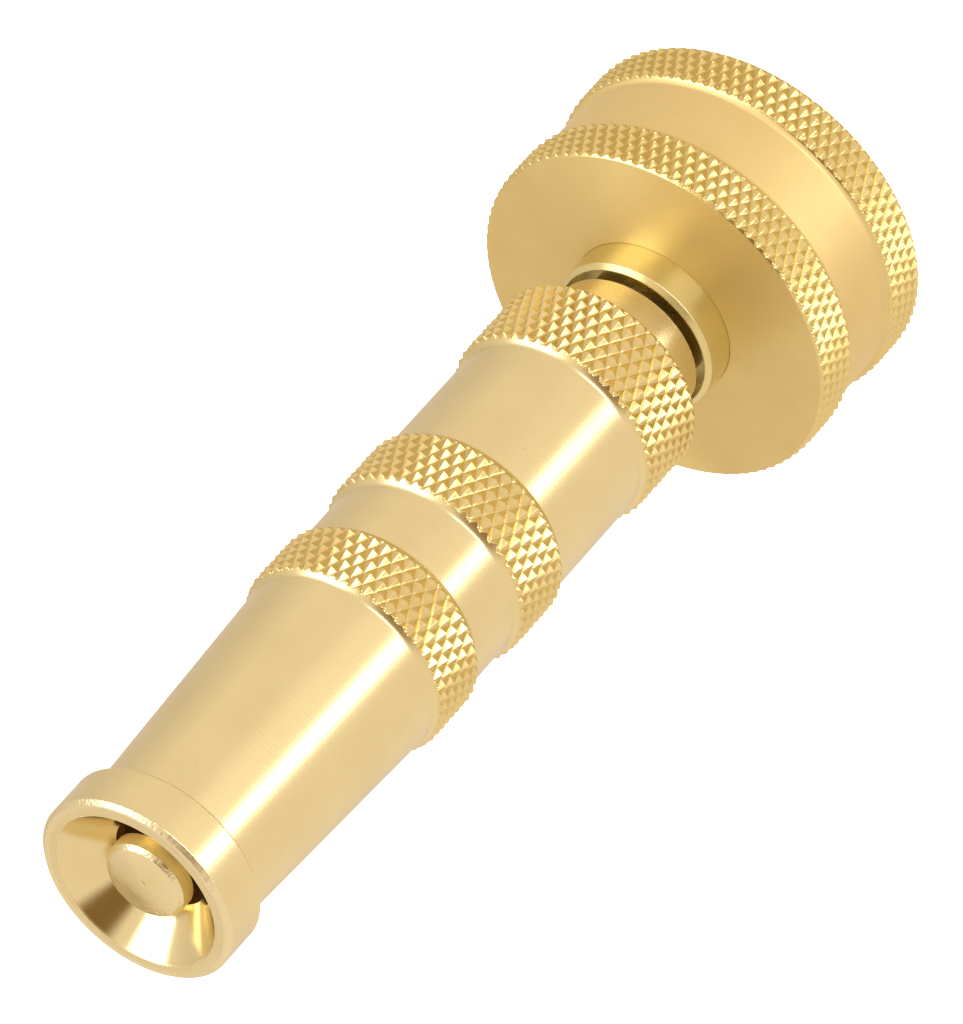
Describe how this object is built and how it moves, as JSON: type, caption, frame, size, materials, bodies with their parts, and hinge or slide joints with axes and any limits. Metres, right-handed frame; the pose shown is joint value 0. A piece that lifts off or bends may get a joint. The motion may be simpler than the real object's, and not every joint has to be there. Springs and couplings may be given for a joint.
{
  "type": "hose spray nozzle",
  "caption": "Brass twist nozzle for a garden hose: a knurled swivel coupling behind, and a long barrel that screws along a pin stem to shape or shut off the spray.",
  "frame": {"origin": "centre of the coupling's rear face, on which the nozzle stands", "axes": "+Z along the common axis of every piece, from the hose end to the nose; X and Y are free, because the pieces are round"},
  "size_m": [0.0346, 0.0346, 0.0947],
  "materials": {
    "coupling_brass": "turned and knurled, satin",
    "barrel_brass": "turned and knurled, satin",
    "stem_brass": "turned",
    "washer_rubber": "matt moulded",
    "seal_rubber": "moulded, greased"
  },
  "bodies": {
    "coupling": {"coupling": "coupling_brass", "hose_washer": "washer_rubber"},
    "stem": {"swivel_tail": "stem_brass", "stem": "stem_brass", "shutoff_o_ring": "seal_rubber"},
    "seal_ring": {"rear_o_ring": "seal_rubber"},
    "barrel": {"barrel": "barrel_brass"}
  },
  "joints": [
    {"name": "stem_swivel", "type": "hinge", "parent": "coupling", "child": "stem", "pos_m": [0, 0, 0.0142], "axis": [0, 0, 1], "continuous": true},
    {"name": "barrel_twist", "type": "hinge", "parent": "stem", "child": "seal_ring", "pos_m": [0, 0, 0.0442], "axis": [0, 0, 1], "range_deg": [-720, 1080]},
    {"name": "barrel_travel", "type": "slide", "parent": "seal_ring", "child": "barrel", "axis": [0, 0, 1], "range_m": [-0.003, 0.0045]}
  ],
  "couplings": [
    {"joint": "barrel_twist", "follows": "barrel_travel", "rad_per_m": 4188.8}
  ]
}
